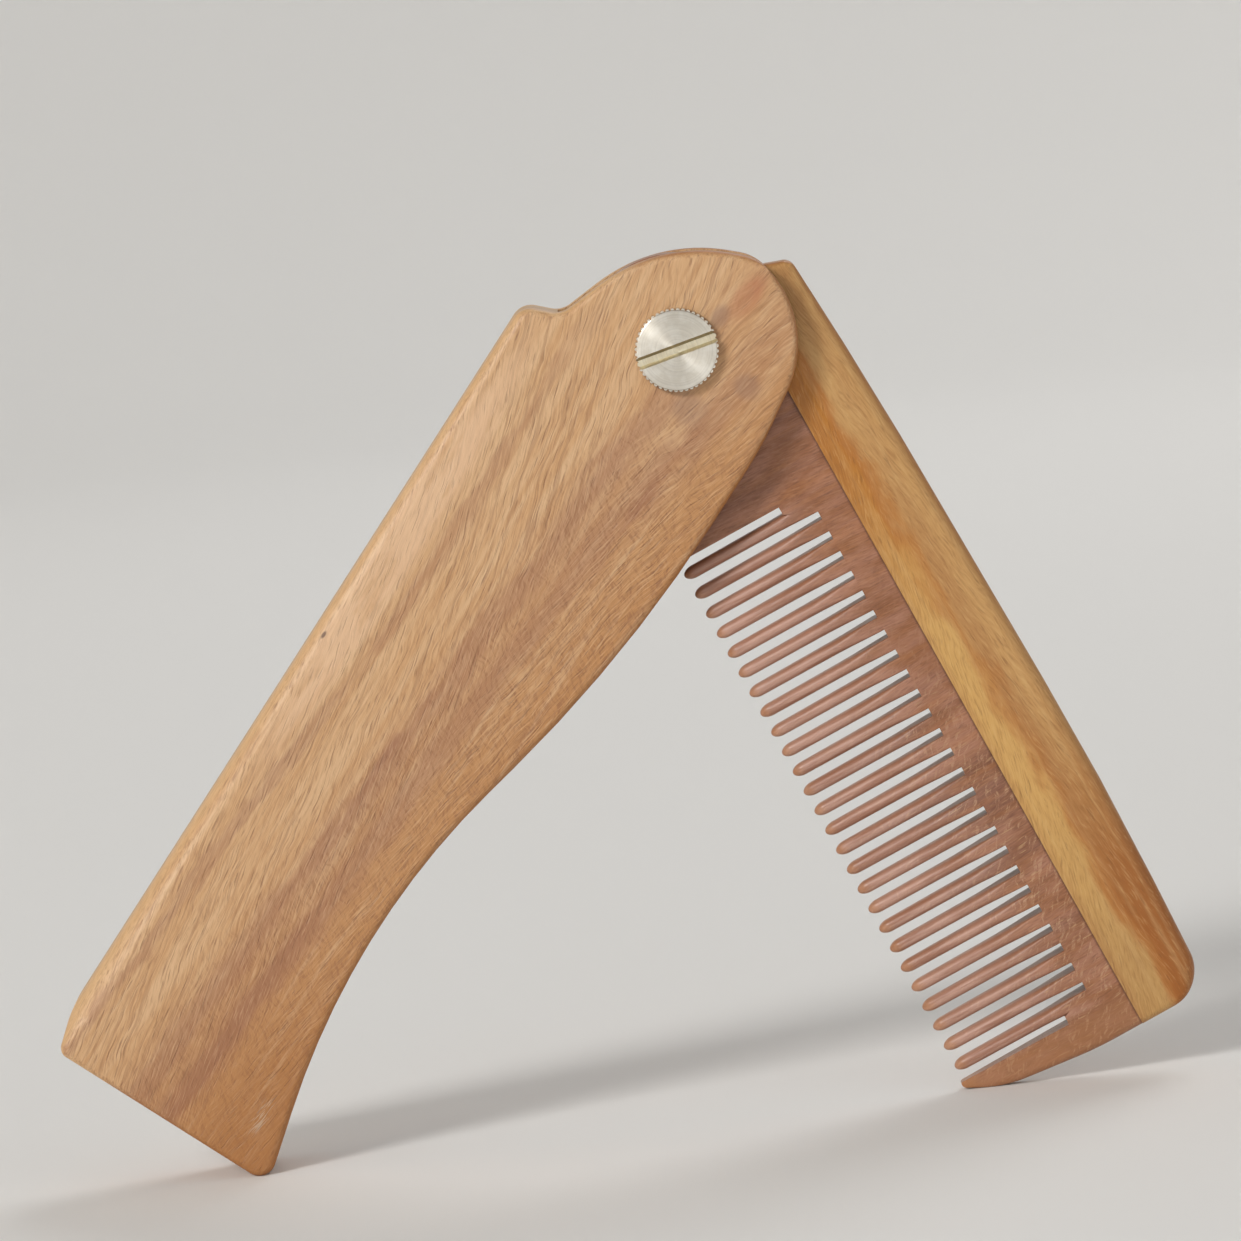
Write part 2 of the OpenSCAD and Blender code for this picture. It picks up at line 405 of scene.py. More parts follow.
def make_group(name, kind, inputs, outputs):
    """A node group with named sockets. Each input is (name, socket type, first value)."""
    group = bpy.data.node_groups.new(name, kind)
    for label, socket, value in inputs:
        made = group.interface.new_socket(name=label, in_out="INPUT", socket_type=socket)
        if value is not None:
            made.default_value = value
    for label, socket in outputs:
        group.interface.new_socket(name=label, in_out="OUTPUT", socket_type=socket)
    return group, group.nodes.new("NodeGroupInput").outputs, group.nodes.new("NodeGroupOutput").inputs


def socket_names(group, way):
    return [item.name for item in group.interface.items_tree if item.in_out == way]


print("kinds of socket used most:", FLOAT, GEOMETRY)

# %% [markdown]
# ## Grain that every wood here shares
# Wood is a bundle of fibres. Along them a pattern runs on for a long way, and across them it changes
# quickly, so each layer of the figure is a noise stretched along the grain. Broad streaks give the bands of
# colour and fine ones the fibres. Short slanted flecks are the open pores that the saw cut through, longer
# ones are hairs of darker wood, and a ripple lies across them where the fibres curl. The group works in
# millimetres, with the grain along Z, and only hands out masks, so each wood mixes its own colours.

# %% Grain group
BROAD_MASKS = ("Across", "Bands", "Streaks", "Mottle")
FIBRE_MASKS = ("Fibres", "Hairs", "Pores", "Ripple")


def make_grain_group():
    inputs = [("Place", "NodeSocketVector", None)]
    inputs += [(label, FLOAT, value) for label, value in (
        ("Band Width", 4.0), ("Wander", 3.0), ("Fan", 0.4), ("Fibre Width", 0.16), ("Fibre Length", 3.0),
        ("Curl", 1.0), ("Parting", 0.0), ("Lean Back", 0.15), ("Lean Front", -0.15),
    )]
    outputs = [(label, FLOAT) for label in BROAD_MASKS + FIBRE_MASKS]
    group, given, result = make_group("wood_grain", "ShaderNodeTree", inputs, outputs)
    axes = separate(group, given["Place"])

    def stretched(across, size_x, size_y, size_z):
        """The place with each direction divided by its own size: how long the pattern runs that way."""
        sides = ((across, size_x), (axes["Y"], size_y), (axes["Z"], size_z))
        return vector(group, *(calc(group, "DIVIDE", side, size) for side, size in sides))

    def swing(place, amount, rough=0.5):
        return times(group, calc(group, "SUBTRACT", noise(group, place, 2.0, rough), 0.5), amount)

    widening = calc(group, "MULTIPLY_ADD", ramp(group, axes["Z"], -34, 12), given["Fan"], 1)
    across = calc(group, "DIVIDE", axes["X"], widening)
    broad = swing(stretched(axes["X"], 20, 20, 50), given["Wander"])
    across = calc(group, "ADD", across, broad)
    fine = swing(stretched(axes["X"], 4, 4, 11), times(group, given["Wander"], 0.3))
    across = calc(group, "ADD", across, fine)
    put(group, result["Across"], across)
    width = given["Band Width"]
    put(group, result["Bands"], noise(group, stretched(across, width, width, 110), 2.5, 0.45))
    narrow = times(group, width, 0.24)
    put(group, result["Streaks"], noise(group, stretched(across, narrow, narrow, 24), 3.0, 0.6))
    put(group, result["Mottle"], noise(group, stretched(across, 1.8, 1.8, 6), 4.0, 0.55))

    curled = calc(group, "ADD", across, swing(stretched(across, 2.4, 3, 8), given["Curl"], 0.6))
    front = ramp(group, calc(group, "SUBTRACT", across, given["Parting"]), -2.0, 2.5)
    leans = (given["Lean Back"], given["Lean Front"])
    leaning = [calc(group, "MULTIPLY_ADD", axes["Z"], lean, curled) for lean in leans]

    def strokes(wider, longer, detail):
        """Noise drawn out along the leaning fibres, blended from the back lean to the front one."""
        width = times(group, given["Fibre Width"], wider)
        length = times(group, given["Fibre Length"], longer)
        back_side, front_side = (
            noise(group, stretched(slanted, width, width, length), detail, 0.6) for slanted in leaning
        )
        values = {0: front, 2: back_side, 3: front_side}
        return add_node(group, "ShaderNodeMix", values, data_type="FLOAT").outputs[0]

    put(group, result["Fibres"], strokes(1.0, 1.0, 2.5))
    put(group, result["Pores"], ramp(group, strokes(1.2, 1.1, 1.0), 0.60, 0.76))
    put(group, result["Hairs"], ramp(group, strokes(1.5, 4.6, 2.0), 0.52, 0.66))
    shaken = calc(group, "ADD", axes["Z"], swing(stretched(across, 3, 3, 3), 2.4))
    tipped = calc(group, "MULTIPLY_ADD", curled, 0.75, shaken)
    wide = calc(group, "DIVIDE", across, 1.3)
    crosswise = vector(group, wide, axes["Y"], calc(group, "DIVIDE", tipped, 0.40))
    put(group, result["Ripple"], noise(group, crosswise))
    return group


grain_group = make_grain_group()
print("grain masks:", socket_names(grain_group, "OUTPUT"))

# %% [markdown]
# ## Rims
# Where a board's face rolls over into its edge, the woods colour the rim darker and more orange. The faces
# look along Y and the rims do not, at any position of the comb, because it turns about Y. So the mask is
# simply how far the surface has turned away from Y.

# %% Rim group


def make_rim_group():
    inputs = [("Start", FLOAT, 0.04), ("Full", FLOAT, 0.60)]
    group, given, result = make_group("rim_mask", "ShaderNodeTree", inputs, [("Rim", FLOAT)])
    normal = add_node(group, "ShaderNodeTexCoord").outputs["Normal"]
    turned_away = calc(group, "SUBTRACT", 1, calc(group, "ABSOLUTE", separate(group, normal)["Y"]))
    put(group, result["Rim"], ramp(group, turned_away, given["Start"], given["Full"]))
    return group


rim_group = make_rim_group()
print("rim mask's sizes:", socket_names(rim_group, "INPUT"))

# %% [markdown]
# ## Starting and ending a wood
# Each wood reads its place on the board: Object coordinates, turned upright by a Mapping node and scaled to
# millimetres. Every wood also ends the same way, with a shallow bump for its fibres and pores and a thin
# coat of oil.

# %% Start and end a wood


def start_wood(name, body, turn=0.0, shift=0.0, **grain):
    """A new material with the grain and rim groups. turn lays the grain over, for a cross-cut board."""
    material = bpy.data.materials.new(name)
    material.use_nodes = True
    tree = material.node_tree
    place = add_node(tree, "ShaderNodeTexCoord").outputs["Object"]
    upright = add_node(tree, "ShaderNodeMapping", {"Vector": place}, vector_type="TEXTURE")
    upright.inputs["Location"].default_value = pivot
    upright.inputs["Rotation"].default_value = (0, TILT[body], 0)
    upright.inputs["Scale"].default_value = (MM, MM, MM)
    laid = add_node(tree, "ShaderNodeMapping", {"Vector": upright.outputs[0]})
    laid.inputs["Rotation"].default_value = (0, turn, 0)
    laid.inputs["Location"].default_value = (0, shift, 0)
    grain_node = add_node(tree, "ShaderNodeGroup", node_tree=grain_group)
    put(tree, grain_node.inputs["Place"], laid.outputs[0])
    for label, value in grain.items():
        grain_node.inputs[label.replace("_", " ").title()].default_value = value
    rim = add_node(tree, "ShaderNodeGroup", node_tree=rim_group).outputs["Rim"]
    return material, tree, separate(tree, upright.outputs[0]), grain_node.outputs, rim


def end_wood(tree, colour, height, rough, depth, oil=0.06):
    """Wires the colour, the roughness and a bump of the given depth in metres into the shader."""
    shader = tree.nodes["Principled BSDF"]
    put(tree, shader.inputs["Base Color"], colour)
    put(tree, shader.inputs["Roughness"], rough)
    shader.inputs["Specular IOR Level"].default_value = 0.35
    shader.inputs["Coat Weight"].default_value = oil
    shader.inputs["Coat Roughness"].default_value = 0.30
    bump = add_node(tree, "ShaderNodeBump", {"Height": height, "Strength": 1.0, "Distance": depth})
    put(tree, shader.inputs["Normal"], bump.outputs[0])


print("sizes that a wood can set:", socket_names(grain_group, "INPUT")[1:])

# %% [markdown]
# ## The handle's colour and bands
# Honey-tan wood with long pinkish-brown bands. It is darker and redder towards its front edge and the butt,
# partly its own tone and partly painted shade where the light falls off. Bands could be painted as a texture,
# but masks stay sharp at any size and can be tuned one by one. A band is a strip round a line that follows
# the grain. Its edge is broken up by the mottle, and it fades out at the head.

# %% Colour and bands of the handle
# Each band's middle and half width, in millimetres across the grain, and its strength
BANDS = ((3.6, 4.2, 0.50), (1.8, 1.3, 0.90), (5.5, 1.4, 0.80), (-6.8, 0.8, 0.50))


def handle_ground(tree, sides, grain):
    """Tan at the back, darker honey to the front and butt, partly painted shade; streaks darker or paler."""
    # Darker and redder towards the front edge and the butt: partly the wood's own tone, partly painted shade
    # where the light falls off
    lower = calc(tree, "MULTIPLY_ADD", sides["Z"], -0.13, sides["X"])
    colour = mix(tree, ramp(tree, lower, -2, 20), (0.655, 0.412, 0.224), (0.455, 0.205, 0.070))
    colour = tint(tree, colour, (0.53, 0.270, 0.108), ramp(tree, grain["Streaks"], 0.40, 0.66), 0.5)
    return tint(tree, colour, (0.72, 0.485, 0.285), ramp(tree, grain["Streaks"], 0.50, 0.30), 0.45)


def handle_bands(tree, colour, sides, grain, slope):
    below_head = ramp(tree, sides["Z"], 6, -16, 0.25, 1.0)
    broken = times(tree, below_head, ramp(tree, grain["Bands"], 0.36, 0.60, 0.45, 1.0))
    for middle, half_width, strength in BANDS:
        away = calc(tree, "ABSOLUTE", calc(tree, "SUBTRACT", slope, middle))
        edge = calc(tree, "MULTIPLY_ADD", grain["Mottle"], -3.6, calc(tree, "ADD", away, 1.8))
        band = ramp(tree, edge, 1.3 * half_width, 0.2 * half_width, 0.0, strength)
        colour = tint(tree, colour, (0.345, 0.158, 0.092), band, broken)
    return colour


print("bands along the handle:", len(BANDS))

# %% [markdown]
# ## The handle's fibres
# Dark fibres and glossy pale ones lie aslant, with long hairs among them and short open pores. Below the
# head, on the front side, a fine ripple crosses the fibres and makes the wood look furry. Each is one mask
# and one tone.

# %% Fibres of the handle


def handle_fibres(tree, colour, sides, grain, slope):
    fibres = grain["Fibres"]
    colour = tint(tree, colour, (0.34, 0.155, 0.062), ramp(tree, fibres, 0.46, 0.74), 0.42)
    colour = tint(tree, colour, (0.78, 0.53, 0.31), ramp(tree, fibres, 0.50, 0.28), 0.34)
    colour = tint(tree, colour, (0.33, 0.160, 0.075), grain["Hairs"], 0.42)
    ripple = times(tree, ramp(tree, grain["Ripple"], 0.46, 0.62), ramp(tree, fibres, 0.40, 0.60, 0.2, 1.3))
    furry = times(tree, ramp(tree, slope, -2, 3, 0.1, 0.42), ramp(tree, sides["Z"], 0, -14, 0.2, 1.0))
    colour = tint(tree, colour, (0.30, 0.130, 0.062), ripple, furry)
    return tint(tree, colour, (0.20, 0.085, 0.040), grain["Pores"], 0.40)


print("masks used here:", FIBRE_MASKS)

# %% [markdown]
# ## Marks on the handle
# Real wood is never even. A ruddy patch and a few greyed stains lie round the screw, a pin knot by the back
# edge, and scratches by the toe. A soft oval does for each, broken up by the mottle or the fibres. A long
# pale band by the back edge is a painted highlight, where the light catches the rounded edge, and along that
# edge the rim is painted pale as well. Along the front edge the rim is coloured darker. Towards the toe the
# butt is darker, partly the wood's own tone and partly painted shade where the light falls off.

# %% Marks on the handle
GREYED = (0.285, 0.165, 0.120)
# Each mark's place, half width and half length in millimetres on the upright board, its strength and its tone
MARKS_AND_PAINTED_HIGHLIGHT = (
    (3.3, 8.5, 1.7, 4.0, 0.55, (0.47, 0.165, 0.080)),
    (2.0, 5.4, 1.3, 1.8, 0.50, GREYED),
    (4.6, -4.6, 2.6, 2.4, 0.45, GREYED),
    (8.3, 0.7, 2.0, 1.8, 0.40, GREYED),
    # Not a stain: a painted highlight, the long pale band where the light catches the rounded back edge
    (-13.4, -34.0, 3.0, 34.0, 0.45, (0.88, 0.62, 0.42)),
    (-15.1, -45.3, 0.26, 0.60, 0.9, (0.13, 0.060, 0.035)),
)


def oval_mark(tree, sides, x, z, half_width, half_length):
    """A soft oval on the front face, along the grain. All sizes are in millimetres on the upright board."""
    wide = calc(tree, "DIVIDE", calc(tree, "SUBTRACT", sides["X"], x), half_width)
    long = calc(tree, "DIVIDE", calc(tree, "SUBTRACT", sides["Z"], z), half_length)
    away = add_node(tree, "ShaderNodeVectorMath", {0: vector(tree, wide, long, 0.0)}, operation="LENGTH")
    return times(tree, ramp(tree, away.outputs["Value"], 1.0, 0.4), calc(tree, "LESS_THAN", sides["Y"], 0))


def handle_marks(tree, colour, sides, grain, rim):
    # Darker still at the butt towards the toe: partly the wood's own tone, partly painted shade where the
    # light falls off
    towards_toe = ramp(tree, sides["X"], -8, 12, 0.0, 0.65)
    colour = tint(tree, colour, (0.37, 0.150, 0.045), ramp(tree, sides["Z"], -66, -96), towards_toe)
    scratched = oval_mark(tree, sides, 6.8, butt_z / MM + 6, 1.1, 3.2)
    along_fibres = ramp(tree, grain["Fibres"], 0.52, 0.60, 0.0, 0.6)
    colour = tint(tree, colour, (0.60, 0.46, 0.33), scratched, along_fibres)
    patchy = ramp(tree, grain["Mottle"], 0.36, 0.52, 0.5, 1.0)
    for x, z, half_width, half_length, strength, tone in MARKS_AND_PAINTED_HIGHLIGHT:
        mark = oval_mark(tree, sides, x, z, half_width, half_length)
        colour = tint(tree, colour, tone, mark, strength, patchy)
    # The rim is coloured darker towards the front. Along the back edge it is painted pale: a painted
    # highlight on the rounded edge
    colour = tint(tree, colour, (0.40, 0.145, 0.028), rim, ramp(tree, sides["X"], -11, -5, 0.0, 0.80))
    return tint(tree, colour, (0.70, 0.44, 0.21), ramp(tree, sides["X"], -8, -11), rim, 0.55)


print("marks on the handle:", len(MARKS_AND_PAINTED_HIGHLIGHT) + 1)

# %% [markdown]
# ## Handle wood
# The layers come together in one material. Near the head the grain opens out like a fan. The same function
# makes the spacers' wood, which is cut from another part of the plank, so its grain is shifted and it is a
# shade darker.

# %% Handle wood


def handle_wood(name, shift=0.0, shade=1.0):
    material, tree, sides, grain, rim = start_wood(
        name, "handle", shift=shift, band_width=4.2, wander=2.4, fan=0.42, fibre_width=0.14, fibre_length=2.3,
        curl=1.1, parting=1.5, lean_back=0.20, lean_front=-0.16,
    )
    slope = calc(tree, "MULTIPLY_ADD", sides["Z"], -0.075, grain["Across"])
    colour = handle_ground(tree, sides, grain)
    colour = handle_bands(tree, colour, sides, grain, slope)
    colour = handle_fibres(tree, colour, sides, grain, slope)
    colour = handle_marks(tree, colour, sides, grain, rim)
    colour = mix(tree, 1.0, colour, (shade, shade, shade), "MULTIPLY")
    height = calc(tree, "MULTIPLY_ADD", grain["Pores"], -1.0, times(tree, grain["Fibres"], -0.6))
    end_wood(tree, colour, height, ramp(tree, grain["Mottle"], 0.3, 0.7, 0.40, 0.52), 0.035 * MM)
    return material


wood = handle_wood("handle_wood")
print("nodes in the handle's wood:", len(wood.node_tree.nodes))

# %% [markdown]
# ## The handle
# Two scales with the same outline. Their back edges, where the palm rests, are sanded to a soft round. The
# rest is eased by a millimetre or less, and the inner faces stay almost sharp because the other pieces are
# glued to them.

# %% Handle scales
half_t = -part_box("front_scale")[0].y
gap_half = -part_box("front_scale")[1].y
GLUE_EASE = 0.07 * MM


def from_axis(v):
    """How far a point of a CAD mesh lies from the pivot's axis."""
    return Vector((v.co.x - pivot.x, v.co.z - pivot.z)).length


def blend_to(value, low, high, a, b):
    """a below low, b above high, and a smooth blend between."""
    t = min(1.0, max(0.0, (value - low) / (high - low)))
    return a + (b - a) * t * t * (3 - 2 * t)


def handle_ease(spot, out):
    """Soft on the back edge, a crisper round elsewhere."""
    back = blend_to(-out.x, 0.35, 0.95, 0.85 * MM, 2.7 * MM)
    return blend_to(spot.y, -14 * MM, -3 * MM, back, 0.8 * MM)


def glue_ease(spot, out):
    return GLUE_EASE


barrel_r = min(from_axis(v) for v in frame["nodes"]["front_scale"].data.vertices)
front = board(handle_loop, -half_t, -gap_half, handle_ease, glue_ease, hole=barrel_r)
front = add_object("scale_front", front, SPACE["handle"])
finish_piece(front, "handle", "front_scale", wood)
rear = board(handle_loop, gap_half, half_t, glue_ease, handle_ease, hole=barrel_r)
rear = add_object("scale_rear", rear, SPACE["handle"])
finish_piece(rear, "handle", "rear_scale", wood)

# %% [markdown]
# ## Spacers
# Two strips hold the scales apart: one along the back edge and one at the butt. Between them the slot stays
# open for the comb. They are plain glued boards, so the same recipe makes them, with sharp edges all round.

# %% Spacers
spacer_wood = handle_wood("spacer_wood", shift=23.0, shade=0.86)
for node in ("back_spacer", "butt_spacer"):
    strip = board(outline(node), -gap_half, gap_half, glue_ease, glue_ease)
    strip = add_object(node.replace("spacer", "strip"), strip, SPACE["handle"])
    finish_piece(strip, "handle", node, spacer_wood)

# %% [markdown]
# ## Measuring the tooth plate
# The plate's outline is read like the others, and the sizes of its teeth are read off it. The bottoms of the
# saw cuts are the only corners between the pivot's line and the spine, below the tang, so they count the
# cuts and give their width and pitch. The points furthest from the spine are the tips.

# %% Measure the plate
plate_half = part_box("tooth_plate")[1].y
plate_loop = outline("tooth_plate")
joint_x = max(p[0] for p in plate_loop)
end_z = min(p[1] for p in plate_loop)
washer_r = 0.5 * (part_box("front_washer")[1].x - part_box("front_washer")[0].x)
CLEAR = 0.5 * MM
roots = [p for p in plate_loop if CLEAR < p[0] < joint_x - CLEAR and end_z + 2 * CLEAR < p[1] < -2 * washer_r]
roots.sort(key=lambda p: -p[1])
root_x = max(p[0] for p in roots)
first_top, first_low = roots[0][1], roots[1][1]
last_top, last_low = roots[-2][1], roots[-1][1]
tooth_count = len(roots) // 2 - 1
gap_w = first_top - first_low
pitch = (first_top - last_top) / tooth_count
tips = [p for p in plate_loop if last_top < p[1] < first_low and p[0] < 0]
first_tip = min(p[0] for p in tips if p[1] > first_low - pitch)
last_tip = min(p[0] for p in tips if p[1] < last_top + pitch)
edge_x = min(p[0] for p in plate_loop)
own_places = [SPACE["comb"].inverted() @ v.co for v in frame["nodes"]["tooth_plate"].data.vertices]
tip_half = min(abs(place.y) for place in own_places if abs(place.x - edge_x) < 0.3 * MM)
print("teeth:", tooth_count, "pitch", pitch, "cut", gap_w, "tips", first_tip, last_tip, "tip half", tip_half)

# %% [markdown]
# ## The blank that the teeth are sawn from
# A board with the teeth left out, because they come next. The blank then gets its wedge: full thickness at
# the tang and the roots, thinning towards the tips. A mesh bends only where it has points, so a few cuts are
# made through it: some across the guard teeth and some across the comb, just below the tang.

# %% Blank
BEND_CUTS = 7
BEND_STEP_X = 2.6 * MM
BEND_STEP_Z = 1.4 * MM
TANG_Z = -8 * MM
WEDGE_Z = -16 * MM


def wedge(x, z):
    """Share of full thickness at a point of the plate: whole at the tang, thinner towards the tips."""
    share = 1 - max(0.0, (root_x - x) / (root_x - edge_x)) * (1 - tip_half / plate_half)
    return blend_to(z, WEDGE_Z, TANG_Z, share, 1.0)


def plate_ease(spot, out):
    """Rounder at the far end, below the last cut."""
    return blend_to(-spot.y, -last_low - 1 * MM, -last_low + 2 * MM, 0.35 * MM, 0.75 * MM)


def plate_square(a, b):
    """Sharp against the spine and round the saw cuts."""
    at_spine = min(a[0], b[0]) > joint_x - HAIR
    in_cuts = max(a[1], b[1]) < first_top + HAIR and min(a[1], b[1]) > last_low - HAIR
    return at_spine or in_cuts


def cut_geometry(bm, where, way):
    everything = bm.verts[:] + bm.edges[:] + bm.faces[:]
    bmesh.ops.bisect_plane(bm, geom=everything, plane_co=where, plane_no=way, dist=1e-8)


def make_blank():
    shortest_root = min(p[0] for p in roots)

    def in_teeth(p):
        return last_top - HAIR < p[1] < first_low + HAIR and p[0] < shortest_root - 0.1 * MM

    loop = [p for p in plate_loop if not in_teeth(p)]
    bm = board(loop, -plate_half, plate_half, plate_ease, plate_ease, plate_square, hole=barrel_r)
    for k in range(BEND_CUTS):
        cut_geometry(bm, Vector((root_x - k * BEND_STEP_X, 0, 0)), Vector((1, 0, 0)))
        cut_geometry(bm, Vector((0, 0, TANG_Z - k * BEND_STEP_Z)), Vector((0, 0, 1)))
    for v in bm.verts:
        v.co.y *= wedge(v.co.x, v.co.z)
    bmesh.ops.recalc_face_normals(bm, faces=bm.faces)
    return bm


blank = make_blank()
print("points in the blank:", len(blank.verts))

# %% [markdown]
# ## The teeth
# All the teeth are one shape in a row, so Geometry Nodes make one and copy it. A tooth is a grid rolled into
# a tube: one direction of the grid runs along the tooth and the other goes round it. Its section is a
# squarish oval, nearly a sawn rectangle at the root, and rounder and thinner towards the tip, as sanding
# leaves it. The last rings shrink to close the tip. The row is then welded to the blank with a boolean, so
# plate and teeth are one piece of wood.

# %% Tooth row as Geometry Nodes
RINGS = 30
SIDES = 24
EMBED = 0.4 * MM
# The share of a tooth's rings that lie along its shaft. The rest close its tip
SHAFT_END = 0.62


def boolean(tree, operation, *parts):
    """Joins or cuts closed meshes. In a union every part goes into the second socket."""
    node = add_node(tree, "GeometryNodeMeshBoolean", operation=operation, solver="MANIFOLD")
    first = "Mesh 2" if operation == "UNION" else "Mesh 1"
    for part, label in zip(parts, (first, "Mesh 2")):
        tree.links.new(part, node.inputs[label])
    return node.outputs[0]


def position(tree):
    return separate(tree, add_node(tree, "GeometryNodeInputPosition").outputs[0])


def moved_to(tree, mesh, x, y, z):
    values = {"Geometry": mesh, "Position": vector(tree, x, y, z)}
    return add_node(tree, "GeometryNodeSetPosition", values).outputs[0]


def share_of(tree, value, low, high):
    values = {"Value": value, "From Min": low, "From Max": high}
    return add_node(tree, "ShaderNodeMapRange", values).outputs[0]


def make_tooth_nodes():
    inputs = [("Blank", GEOMETRY, None), ("Count", "NodeSocketInt", 10)]
    inputs += [(label, FLOAT, 0.0) for label in (
        "Pitch", "Root", "First Tooth", "Length", "Growth", "Root Half Width", "Tip Half Width",
        "Root Half Thickness", "Tip Half Thickness", "Tip Length",
    )]
    inputs += [("Wood", "NodeSocketMaterial", None)]
    tree, given, result = make_group("tooth_row", "GeometryNodeTree", inputs, [("Geometry", GEOMETRY)])
    grid_values = {"Size X": 1.0, "Size Y": 1.0, "Vertices X": RINGS, "Vertices Y": SIDES + 1}
    grid = add_node(tree, "GeometryNodeMeshGrid", grid_values).outputs["Mesh"]
    here = position(tree)
    along = calc(tree, "ADD", here["X"], 0.5)
    around = times(tree, calc(tree, "ADD", here["Y"], 0.5), tau)
    start = 1 / (RINGS - 1)
    shaft = share_of(tree, along, start, SHAFT_END)
    tip_turn = times(tree, share_of(tree, along, SHAFT_END, 1.0), pi / 2)
    straight = calc(tree, "SUBTRACT", calc(tree, "ADD", given["Length"], EMBED), given["Tip Length"])
    tip_reach = times(tree, calc(tree, "SINE", tip_turn), given["Tip Length"])
    reach = calc(tree, "MULTIPLY_ADD", shaft, straight, tip_reach)
    share = calc(tree, "DIVIDE", calc(tree, "SUBTRACT", reach, EMBED), given["Length"], clamp=True)
    closing = times(tree, calc(tree, "COSINE", tip_turn), calc(tree, "GREATER_THAN", along, start / 2))

    def tapered(size):
        """A half size of the section, from its value at the root to its value at the tip."""
        root = given["Root Half " + size]
        span = calc(tree, "SUBTRACT", given["Tip Half " + size], root)
        return times(tree, calc(tree, "MULTIPLY_ADD", share, span, root), closing)

    power = ramp(tree, share, 0.0, 0.4, 0.12, 0.86)

    def squarish(wave):
        # The small step down makes the wave exactly zero where it crosses, so that the tube's seam meets
        size = calc(tree, "MAXIMUM", calc(tree, "SUBTRACT", calc(tree, "ABSOLUTE", wave), 0.00001), 0)
        return times(tree, calc(tree, "SIGN", wave), calc(tree, "POWER", size, power))

    x = calc(tree, "SUBTRACT", EMBED, reach)
    y = times(tree, squarish(calc(tree, "COSINE", around)), tapered("Thickness"))
    z = times(tree, squarish(calc(tree, "SINE", around)), tapered("Width"))
    rolled = {"Geometry": moved_to(tree, grid, x, y, z), "Distance": 0.001 * MM}
    closed = add_node(tree, "GeometryNodeMergeByDistance", rolled).outputs[0]
    row = add_node(tree, "GeometryNodeMeshLine", {
        "Count": given["Count"],
        "Start Location": vector(tree, given["Root"], 0.0, given["First Tooth"]),
        "Offset": vector(tree, 0.0, 0.0, times(tree, given["Pitch"], -1)),
    }).outputs[0]
    index = add_node(tree, "GeometryNodeInputIndex").outputs[0]
    longer = calc(tree, "MULTIPLY_ADD", index, given["Growth"], 1)
    copies = {"Points": row, "Instance": closed, "Scale": vector(tree, longer, 1.0, 1.0)}
    teeth = add_node(tree, "GeometryNodeInstanceOnPoints", copies).outputs[0]
    solid = add_node(tree, "GeometryNodeRealizeInstances", {"Geometry": teeth}).outputs[0]
    whole = {"Geometry": boolean(tree, "UNION", given["Blank"], solid), "Material": given["Wood"]}
    put(tree, result["Geometry"], add_node(tree, "GeometryNodeSetMaterial", whole).outputs[0])
    return tree


def run_nodes(item, tree, values):
    """Adds a Geometry Nodes modifier, sets its inputs by socket identifier and keeps the mesh it makes."""
    modifier = item.modifiers.new(tree.name, "NODES")
    modifier.node_group = tree
    sockets = {s.name: s.identifier for s in tree.interface.items_tree if s.in_out == "INPUT"}
    for name, value in values.items():
        modifier[sockets[name]] = value
    apply_modifiers(item)


tooth_nodes = make_tooth_nodes()
print("sizes of a tooth row:", socket_names(tooth_nodes, "INPUT"))

# %% [markdown]
# ## Plate wood
# A harder, pinkish-brown wood. Its grain runs along the teeth, so that they don't snap, and across the
# length of the comb. It is more even than the handle, with short pale flecks towards the end. The teeth are
# painted pinker and paler towards their tips, a painted sheen where the light catches their rounded sides.
# Their tips are a little browner, and a thin dark line marks the glue against the spine.

# %% Plate wood


def plate_ground(tree, sides, grain):
    """Brown and rosy patches, darker bands, fine fibres, and pale flecks and curls towards the end."""
    fibres = grain["Fibres"]
    colour = mix(tree, ramp(tree, grain["Mottle"], 0.35, 0.65), (0.295, 0.118, 0.050), (0.395, 0.185, 0.112))
    colour = tint(tree, colour, (0.160, 0.064, 0.040), ramp(tree, grain["Bands"], 0.46, 0.66), 0.55)
    colour = tint(tree, colour, (0.42, 0.170, 0.058), ramp(tree, grain["Streaks"], 0.48, 0.7), 0.40)
    colour = tint(tree, colour, (0.11, 0.042, 0.026), ramp(tree, fibres, 0.46, 0.74), 0.45)
    colour = tint(tree, colour, (0.52, 0.29, 0.19), ramp(tree, fibres, 0.48, 0.28), 0.28)
    towards_end = ramp(tree, sides["Z"], -30, -60, 0.1, 1.0)
    colour = tint(tree, colour, (0.58, 0.37, 0.19), towards_end, grain["Pores"], 0.45)
    curls = times(tree, ramp(tree, grain["Ripple"], 0.54, 0.64), ramp(tree, fibres, 0.44, 0.56, 0.1, 0.55))
    return tint(tree, colour, (0.56, 0.34, 0.20), curls, towards_end)


